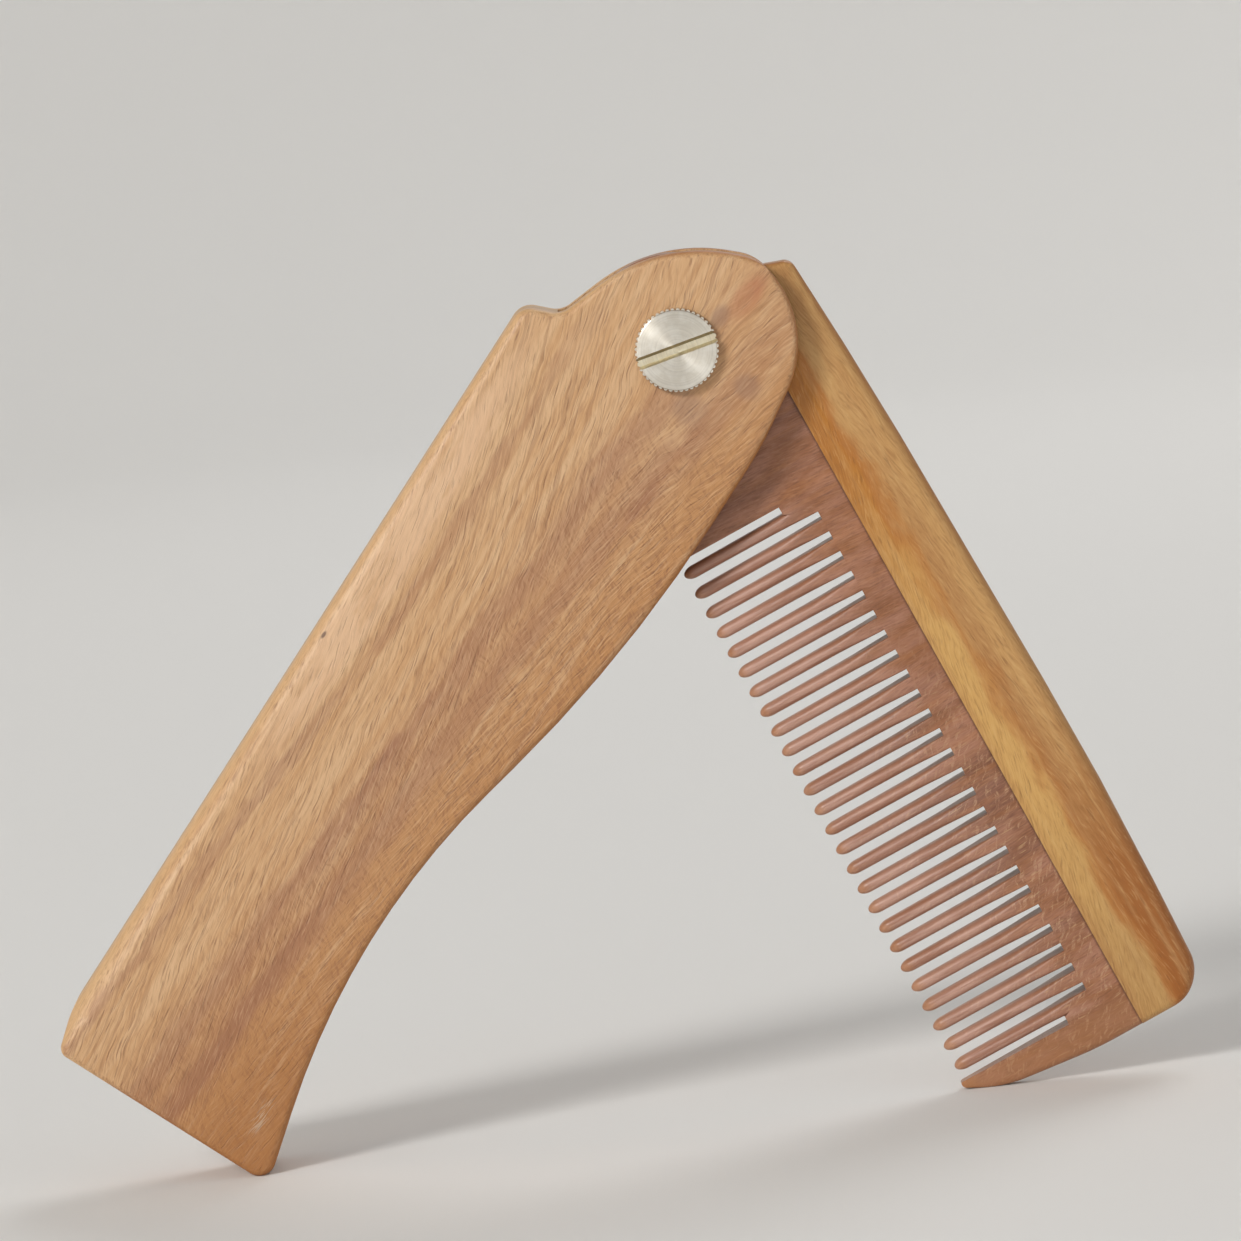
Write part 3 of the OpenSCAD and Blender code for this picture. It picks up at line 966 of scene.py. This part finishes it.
def plate_places(tree, colour, sides, grain, rim):
    """Tones by place: the guard, the teeth's painted sheen, their tips, the glue line and the rims."""
    x, z = sides["X"], sides["Z"]
    at_guard = ramp(tree, z, last_top / MM, last_low / MM - 1)
    colour = tint(tree, colour, (0.41, 0.185, 0.075), at_guard, 0.5)
    below_first = ramp(tree, z, first_top / MM, first_low / MM)
    above_last = ramp(tree, z, last_low / MM, last_top / MM)
    on_teeth = times(tree, ramp(tree, x, root_x / MM + 1, root_x / MM - 10), below_first, above_last)
    # Painted sheen: the teeth are painted pinker and paler towards their tips, where the light catches them
    colour = tint(tree, colour, (0.60, 0.37, 0.30), on_teeth, 0.62)
    veins = ramp(tree, grain["Streaks"], 0.46, 0.60)
    colour = tint(tree, colour, (0.270, 0.105, 0.055), veins, on_teeth, 0.55)
    tipped = ramp(tree, x, first_tip / MM + 1.4, first_tip / MM, 0.0, 0.55)
    colour = tint(tree, colour, (0.44, 0.200, 0.080), tipped)
    off_seam = calc(tree, "ABSOLUTE", calc(tree, "SUBTRACT", x, joint_x / MM))
    colour = tint(tree, colour, (0.120, 0.050, 0.028), ramp(tree, off_seam, 0.30, 0.05, 0.0, 0.6))
    return tint(tree, colour, (0.33, 0.125, 0.040), rim, 0.35)


def plate_wood():
    material, tree, sides, grain, rim = start_wood(
        "plate_wood", "comb", turn=radians(90), band_width=5.0, wander=1.2, fan=0.0, fibre_width=0.17,
        fibre_length=1.5, curl=0.7, parting=-40, lean_back=0.06, lean_front=-0.06,
    )
    colour = plate_ground(tree, sides, grain)
    colour = plate_places(tree, colour, sides, grain, rim)
    height = calc(tree, "MULTIPLY_ADD", grain["Fibres"], -0.8, times(tree, grain["Pores"], -0.4))
    end_wood(tree, colour, height, ramp(tree, grain["Mottle"], 0.3, 0.7, 0.30, 0.42), 0.03 * MM, oil=0.25)
    return material


comb_wood = plate_wood()
print("nodes in the plate's wood:", len(comb_wood.node_tree.nodes))

# %% [markdown]
# ## The tooth plate
# The tooth row gets its sizes from the measured plate. The teeth grow a little longer towards the end, so
# each copy is stretched by its number in the row. The roots are a hair wider and thinner than the blank, so
# that no two faces coincide in the weld.

# %% Tooth plate
half_tooth = (pitch - gap_w) / 2
plate = add_object("plate_and_teeth", blank)
run_nodes(plate, tooth_nodes, {
    "Count": tooth_count,
    "Pitch": pitch,
    "Root": root_x,
    "First Tooth": (first_top + first_low) / 2 - pitch / 2,
    "Length": root_x - first_tip,
    "Growth": (first_tip - last_tip) / (root_x - first_tip) / (tooth_count - 1),
    "Root Half Width": half_tooth + HAIR,
    "Tip Half Width": half_tooth - 0.06 * MM,
    "Root Half Thickness": plate_half - HAIR,
    "Tip Half Thickness": plate_half * wedge(first_tip, first_low),
    "Tip Length": 1.2 * MM,
    "Wood": comb_wood,
})
plate.data.transform(SPACE["comb"])
finish_piece(plate, "comb", "tooth_plate")

# %% [markdown]
# ## Spine wood
# A yellow-tan wood with a dark orange line that wanders down its length. On its inner side the wood goes
# from gold to pale yellow, and on its outer side from pale tan to orange. One wavering distance from the
# line drives it all: its sign picks the side, and its size draws the line.

# %% Spine wood


def spine_ground(tree, sides, grain):
    sway = times(tree, calc(tree, "SUBTRACT", grain["Mottle"], 0.5), 4.2)
    middle = calc(tree, "MULTIPLY_ADD", sides["Z"], -0.022, 10.6)
    off = calc(tree, "SUBTRACT", calc(tree, "ADD", sides["X"], sway), middle)
    along = calc(tree, "MULTIPLY_ADD", sway, 3.0, sides["Z"])
    inner = mix(tree, ramp(tree, along, -18, -42), (0.480, 0.190, 0.028), (0.620, 0.360, 0.118))
    inner = tint(tree, inner, (0.44, 0.245, 0.088), ramp(tree, along, -58, -84, 0.0, 0.7))
    outer = mix(tree, ramp(tree, along, -48, -78), (0.540, 0.300, 0.110), (0.340, 0.110, 0.018))
    colour = mix(tree, ramp(tree, off, -0.7, 0.9), inner, outer)
    line = ramp(tree, calc(tree, "ABSOLUTE", off), 1.4, 0.0, 0.0, 0.6)
    return tint(tree, colour, (0.42, 0.145, 0.028), line)


def spine_wood():
    material, tree, sides, grain, rim = start_wood(
        "spine_wood", "comb", band_width=3.2, wander=1.6, fan=0.0, fibre_width=0.17, fibre_length=1.7,
        curl=1.5, parting=11, lean_back=-0.22, lean_front=0.14,
    )
    fibres = grain["Fibres"]
    colour = spine_ground(tree, sides, grain)
    colour = tint(tree, colour, (0.36, 0.145, 0.045), ramp(tree, grain["Bands"], 0.45, 0.7), 0.4)
    colour = tint(tree, colour, (0.66, 0.43, 0.19), ramp(tree, grain["Streaks"], 0.52, 0.3), 0.24)
    colour = tint(tree, colour, (0.26, 0.100, 0.025), ramp(tree, fibres, 0.46, 0.74), 0.42)
    colour = tint(tree, colour, (0.70, 0.46, 0.20), ramp(tree, fibres, 0.48, 0.28), 0.28)
    colour = tint(tree, colour, (0.18, 0.075, 0.025), grain["Pores"], 0.3)
    colour = tint(tree, colour, (0.38, 0.130, 0.024), rim, ramp(tree, sides["Z"], -25, -55, 0.7, 0.2))
    height = calc(tree, "MULTIPLY_ADD", grain["Pores"], -0.8, times(tree, fibres, -0.6))
    end_wood(tree, colour, height, ramp(tree, grain["Mottle"], 0.3, 0.7, 0.36, 0.48), 0.03 * MM)
    return material


bar_wood = spine_wood()
print("nodes in the spine's wood:", len(bar_wood.node_tree.nodes))

# %% [markdown]
# ## The spine
# A bar a little thicker than the plate, glued along its back. It is a board like the others, well rounded
# where the hand holds it and square where it meets the plate.

# %% Spine
spine_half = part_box("spine")[1].y


def spine_ease(spot, out):
    """Well rounded along the back of the comb, crisper at its ends."""
    return blend_to(out.x, 0.3, 0.95, 0.8 * MM, 1.45 * MM)


def spine_square(a, b):
    return max(a[0], b[0]) < joint_x + HAIR


spine = board(outline("spine"), -spine_half, spine_half, spine_ease, spine_ease, spine_square)
spine = add_object("spine_bar", spine, SPACE["comb"])
finish_piece(spine, "comb", "spine", bar_wood)

# %% [markdown]
# ## The screw post
# The comb turns on a two-part post: a screw with a flat head on the front and a threaded barrel with a twin
# head on the rear. Each was turned on a lathe, so its core is a profile swept round the pivot's axis.

# %% Lathe
LATHE_SIDES = 96


def circle_ring(bm, radius, y):
    turns = [tau * k / LATHE_SIDES for k in range(LATHE_SIDES)]
    return [bm.verts.new((radius * cos(a), y, radius * sin(a))) for a in turns]


def lathe(profile):
    """A closed shape from (radius, y) points swept round the pivot. The first and last lie on the axis."""
    bm = bmesh.new()
    rings = [circle_ring(bm, radius, y) for radius, y in profile[1:-1]]
    for lower, upper in zip(rings, rings[1:]):
        join_rings(bm, lower, upper)
    for ring, (_, y) in ((rings[0], profile[0]), (rings[-1], profile[-1])):
        middle = bm.verts.new((0, y, 0))
        for k, corner in enumerate(ring):
            bm.faces.new((ring[k - 1], corner, middle))
    bmesh.ops.recalc_face_normals(bm, faces=bm.faces)
    return bm


print("sides of a turned shape:", LATHE_SIDES)

# %% [markdown]
# ## The ribbed head
# The ribs round a head's edge repeat, so Geometry Nodes copy one rib round a circle and weld the ribs on. A
# bar, wider outwards, then saws the screwdriver slot across. The head and the bar get their metals before
# that cut, so the slot's walls keep the bar's: there the plating is cut through.

# %% Ribbed head as Geometry Nodes
RIB_SIDES = 10


def make_head_nodes():
    inputs = [("Core", GEOMETRY, None), ("Ribs", "NodeSocketInt", 48), ("Way", FLOAT, -1.0)]
    inputs += [(label, FLOAT, 0.0) for label in (
        "Rib Circle", "Rib Radius", "Rib Height", "Rib Foot", "Slot Width", "Slot Depth", "Slot Flare",
        "Slot Angle", "Face",
    )]
    inputs += [(label, "NodeSocketMaterial", None) for label in ("Plating", "Bare")]
    tree, given, result = make_group("ribbed_head", "GeometryNodeTree", inputs, [("Geometry", GEOMETRY)])

    def placed(mesh, y, turn_x, turn_y):
        place = vector(tree, 0.0, y, 0.0)
        turn = vector(tree, turn_x, turn_y, 0.0)
        values = {"Geometry": mesh, "Translation": place, "Rotation": turn}
        return add_node(tree, "GeometryNodeTransform", values).outputs[0]

    def coated(mesh, metal):
        values = {"Geometry": mesh, "Material": given[metal]}
        return add_node(tree, "GeometryNodeSetMaterial", values).outputs[0]

    rib = add_node(tree, "GeometryNodeMeshCone", {
        "Vertices": RIB_SIDES,
        "Radius Top": times(tree, given["Rib Radius"], 0.8),
        "Radius Bottom": given["Rib Radius"],
        "Depth": given["Rib Height"],
    }).outputs[0]
    circle_values = {"Vertices": given["Ribs"], "Radius": given["Rib Circle"]}
    circle = add_node(tree, "GeometryNodeMeshCircle", circle_values).outputs[0]
    ring = add_node(tree, "GeometryNodeInstanceOnPoints", {"Points": circle, "Instance": rib}).outputs[0]
    ribs = add_node(tree, "GeometryNodeRealizeInstances", {"Geometry": ring}).outputs[0]
    ribs = placed(ribs, given["Rib Foot"], times(tree, given["Way"], -pi / 2), 0.0)
    head = coated(boolean(tree, "UNION", given["Core"], ribs), "Plating")
    saw_length = times(tree, given["Rib Circle"], 3)
    saw_size = vector(tree, saw_length, times(tree, given["Slot Depth"], 2), given["Slot Width"])
    saw = add_node(tree, "GeometryNodeMeshCube", {"Size": saw_size}).outputs[0]
    here = position(tree)
    out = calc(tree, "DIVIDE", times(tree, here["Y"], given["Way"]), given["Slot Depth"])
    wider = calc(tree, "MULTIPLY_ADD", out, given["Slot Flare"], 1)
    flared = moved_to(tree, saw, here["X"], here["Y"], times(tree, here["Z"], wider))
    saw = placed(coated(flared, "Bare"), given["Face"], 0.0, times(tree, given["Slot Angle"], -1))
    put(tree, result["Geometry"], boolean(tree, "DIFFERENCE", head, saw))
    return tree


head_nodes = make_head_nodes()
print("sizes of a ribbed head:", socket_names(head_nodes, "INPUT"))

# %% [markdown]
# ## Plated brass
# The heads are brass with a thin nickel plating, faced off on a lathe. The tool leaves rings so fine that
# they stretch each reflection into bright wedges, which is what anisotropy does in a shader: its tangent
# points out from the pivot. Where the metal faces down it is painted dull and brown: painted shade on the
# undersides of the ribs and on the slot's upper wall. In the slot the brass shows.

# %% Metals


def turned_metal(name, colour, bright, rough, ring_depth):
    material = bpy.data.materials.new(name)
    material.use_nodes = True
    tree = material.node_tree
    shader = tree.nodes["Principled BSDF"]
    coordinates = add_node(tree, "ShaderNodeTexCoord").outputs
    centred = add_node(tree, "ShaderNodeMapping", {"Vector": coordinates["Object"]}, vector_type="TEXTURE")
    centred.inputs["Location"].default_value = pivot
    centred.inputs["Scale"].default_value = (MM, MM, MM)
    axes = separate(tree, centred.outputs[0])
    outwards = vector(tree, axes["X"], 0.0, axes["Z"])
    radius = add_node(tree, "ShaderNodeVectorMath", {0: outwards}, operation="LENGTH").outputs["Value"]
    rings = noise(tree, vector(tree, times(tree, radius, 5.0), 0.0, 0.0), 4.0, 0.7)
    stain = noise(tree, centred.outputs[0], 3.0, 0.6, scale=0.9)
    tone = mix(tree, ramp(tree, stain, 0.35, 0.7), colour, bright)
    tone = tint(tree, tone, (0.30, 0.27, 0.23), ramp(tree, rings, 0.35, 0.7), 0.22)
    # Painted shade: the metal is darkened and browned where it faces down, under the ribs and on the slot's
    # upper wall
    painted_shade_below = ramp(tree, separate(tree, coordinates["Normal"])["Z"], -0.4, -0.9)
    tone = tint(tree, tone, (0.20, 0.155, 0.075), painted_shade_below, 0.80)
    put(tree, shader.inputs["Base Color"], tone)
    put(tree, shader.inputs["Roughness"], ramp(tree, rings, 0.3, 0.7, rough, rough + 0.1))
    shader.inputs["Metallic"].default_value = 1.0
    shader.inputs["Anisotropic"].default_value = 0.75
    to_world = {"vector_type": "VECTOR", "convert_from": "OBJECT", "convert_to": "WORLD"}
    tangent = add_node(tree, "ShaderNodeVectorTransform", {0: outwards}, **to_world)
    put(tree, shader.inputs["Tangent"], tangent.outputs[0])
    bump = add_node(tree, "ShaderNodeBump", {"Height": rings, "Strength": 1.0, "Distance": ring_depth})
    put(tree, shader.inputs["Normal"], bump.outputs[0])
    return material


nickel = turned_metal("plated_brass", (0.82, 0.77, 0.68), (0.93, 0.89, 0.81), 0.27, 0.006 * MM)
bare_brass = turned_metal("bare_brass", (0.83, 0.74, 0.55), (0.92, 0.85, 0.66), 0.36, 0.003 * MM)
print("nodes in a turned metal:", len(nickel.node_tree.nodes))

# %% [markdown]
# ## Screw and barrel
# Both are one profile, turned and then ribbed and slotted by the same nodes. The screw's shank ends inside
# the barrel, whose bore is a hair of room wider. Each size comes from the engineering model's own screw and
# barrel.

# %% Screw and barrel
screw_low, screw_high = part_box("pivot_screw")
barrel_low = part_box("pivot_barrel")[0]
head_r = 0.5 * (screw_high.x - screw_low.x)
head_h = -half_t - screw_low.y
RIB_COUNT = 48
rib_deep = 0.05 * head_r
core_r = head_r - rib_deep
rim_r = 0.13 * MM
RIM_STEPS = 4
slot_w = 1.3 * MM
slot_deep = 0.6 * MM
slot_angle = radians(14)
bore_end = gap_half + 1 * MM


def reach_at(node, y):
    """The largest distance from the pivot's axis among a node's points at height y along it."""
    return max(from_axis(v) for v in frame["nodes"][node].data.vertices if abs(v.co.y - y) < HAIR)


shank_r = reach_at("pivot_screw", screw_high.y)
bore_r = shank_r + 0.05 * MM
barrel_out_r = reach_at("pivot_barrel", barrel_low.y)


def head_profile(way):
    """The head from the middle of its face to the under side of its edge, for a head that faces along way."""
    face = way * (half_t + head_h)
    angles = [pi / 2 * k / RIM_STEPS for k in range(RIM_STEPS + 1)]
    corner = [(core_r - rim_r * (1 - sin(a)), face - way * rim_r * (1 - cos(a))) for a in angles]
    return [(0, face), (core_r * 0.5, face)] + corner + [(core_r, way * half_t)]


def pivot_part(name, profile, way, node):
    item = add_object(name, lathe(profile))
    run_nodes(item, head_nodes, {
        "Ribs": RIB_COUNT,
        "Rib Circle": core_r - 2 * HAIR,
        "Rib Radius": rib_deep + 2 * HAIR,
        "Rib Height": head_h - 1.5 * rim_r,
        "Rib Foot": way * (half_t + 0.5 * rim_r),
        "Way": way,
        "Slot Width": slot_w,
        "Slot Depth": slot_deep,
        "Slot Flare": 0.5,
        "Slot Angle": slot_angle,
        "Face": way * (half_t + head_h),
        "Plating": nickel,
        "Bare": bare_brass,
    })
    item.data.transform(Matrix.Translation(pivot))
    finish_piece(item, "handle", node)


screw_profile = head_profile(-1) + [(shank_r, -half_t), (shank_r, screw_high.y), (0, screw_high.y)]
barrel_profile = head_profile(1) + [(barrel_out_r, half_t), (barrel_out_r, barrel_low.y)]
barrel_profile += [(bore_r, barrel_low.y), (bore_r, bore_end), (0, bore_end)]
pivot_part("screw_and_head", screw_profile, -1, "pivot_screw")
pivot_part("barrel_and_head", barrel_profile, 1, "pivot_barrel")

# %% [markdown]
# ## Washers
# Two thin brass washers keep the comb off the scales. The engineering model's own rings are the right shape
# and hardly show, so they stay and only get the metal.

# %% Washers
for node in ("front_washer", "rear_washer"):
    washer = frame["nodes"][node]
    washer.data.materials.clear()
    washer.data.materials.append(bare_brass)
    print(node, "has", len(washer.data.polygons), "faces")

# %% [markdown]
# ## The studio
# A pale floor that sweeps up into a pale wall all the way round, so that no edge shows from any side. The
# sweep is a quarter circle between them, and the top is open to the sky.

# %% Floor and sweep
FLOOR_R = 1.3
SWEEP_R = 0.8
SWEEP_STEPS = 12
WALL_TOP = 1.6


def add_studio():
    bm = bmesh.new()
    angles = [pi / 2 * k / SWEEP_STEPS for k in range(SWEEP_STEPS + 1)]
    sweep = [(FLOOR_R + SWEEP_R * sin(a), SWEEP_R * (1 - cos(a))) for a in angles]
    turns = [tau * k / LATHE_SIDES for k in range(LATHE_SIDES)]
    rings = [
        [bm.verts.new((radius * cos(a), radius * sin(a), z)) for a in turns]
        for radius, z in [(0.02, 0)] + sweep + [(FLOOR_R + SWEEP_R, WALL_TOP)]
    ]
    for lower, upper in zip(rings, rings[1:]):
        join_rings(bm, lower, upper)
    bm.faces.new(rings[0])
    bmesh.ops.recalc_face_normals(bm, faces=bm.faces)
    floor = add_object("studio_floor", bm)
    floor.data.shade_smooth()
    material = bpy.data.materials.new("studio_paper")
    material.use_nodes = True
    shader = material.node_tree.nodes["Principled BSDF"]
    shader.inputs["Base Color"].default_value = (0.84, 0.83, 0.81, 1)
    shader.inputs["Roughness"].default_value = 0.9
    floor.data.materials.append(material)
    return floor


print("studio's size:", add_studio().dimensions)

# %% [markdown]
# ## Lights
# A big soft light from the upper left makes the shapes read. A weaker one from the right opens the shadows,
# and one behind serves the views from the rear. A dim white sky fills what is left.

# %% Lights


def add_light(name, place, size, power, colour=(1, 1, 1)):
    data = bpy.data.lights.new(name, "AREA")
    data.shape = "DISK"
    data.size = size
    data.energy = power
    data.color = colour
    light = bpy.data.objects.new(name, data)
    aim = Vector((0, 0, pivot.z / 2)) - Vector(place)
    light.matrix_world = Matrix.Translation(Vector(place)) @ aim.to_track_quat("-Z", "Y").to_matrix().to_4x4()
    bpy.context.scene.collection.objects.link(light)


def add_sky(strength):
    world = bpy.data.worlds.new("studio_sky")
    world.use_nodes = True
    background = world.node_tree.nodes["Background"]
    background.inputs["Color"].default_value = (1, 1, 1, 1)
    background.inputs["Strength"].default_value = strength
    bpy.context.scene.world = world


add_light("key", (-1.30, -1.50, 1.15), 0.70, 30.5, (1.0, 0.985, 0.96))
add_light("fill", (1.30, -1.20, 0.60), 1.00, 2.0)
add_light("rear", (0.60, 1.20, 1.20), 1.00, 8.0)
add_sky(0.20)
bpy.context.scene.view_settings.view_transform = "Standard"
print("lights:", [light.name for light in bpy.data.lights])
